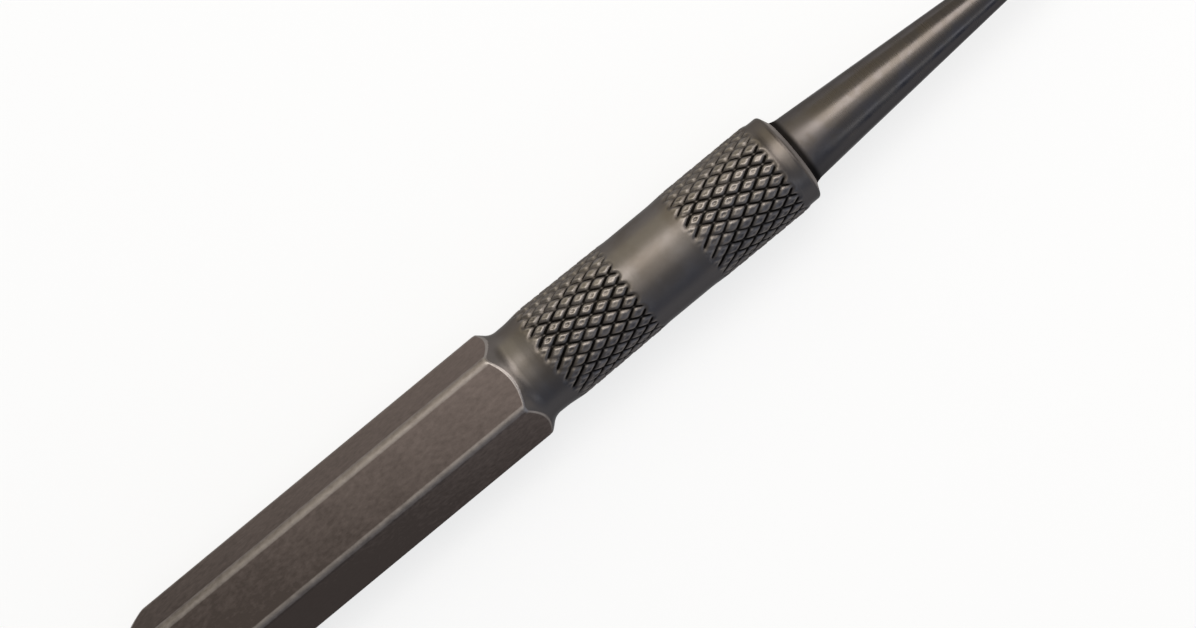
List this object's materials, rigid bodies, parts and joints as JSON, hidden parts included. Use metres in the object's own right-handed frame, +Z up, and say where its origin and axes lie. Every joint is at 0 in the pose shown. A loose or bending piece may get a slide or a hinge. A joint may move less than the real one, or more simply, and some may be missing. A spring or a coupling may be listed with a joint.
{
  "type": "nail setter",
  "caption": "Steel nail setter with a hexagonal shank and striking face, a diamond-knurled round grip and a slim tapered point with a cupped tip that sinks nail heads below a surface.",
  "frame": {"origin": "middle of the tool's length and width, on the surface that it lies on with one hexagon flat down", "axes": "+X along the tool from the striking face to the tip, +Z up, square to the flat that it lies on"},
  "size_m": [0.1044, 0.0108, 0.0095],
  "materials": {
    "body_steel": "satin drawn hexagon with a brown-grey heat-treated film and worn bright ridges; turned and rolled grip",
    "point_steel": "turned, semi-bright, with a thin brown heat-treated film"
  },
  "bodies": {
    "root": {"hex_body": "body_steel", "tapered_point": "point_steel"}
  },
  "joints": []
}
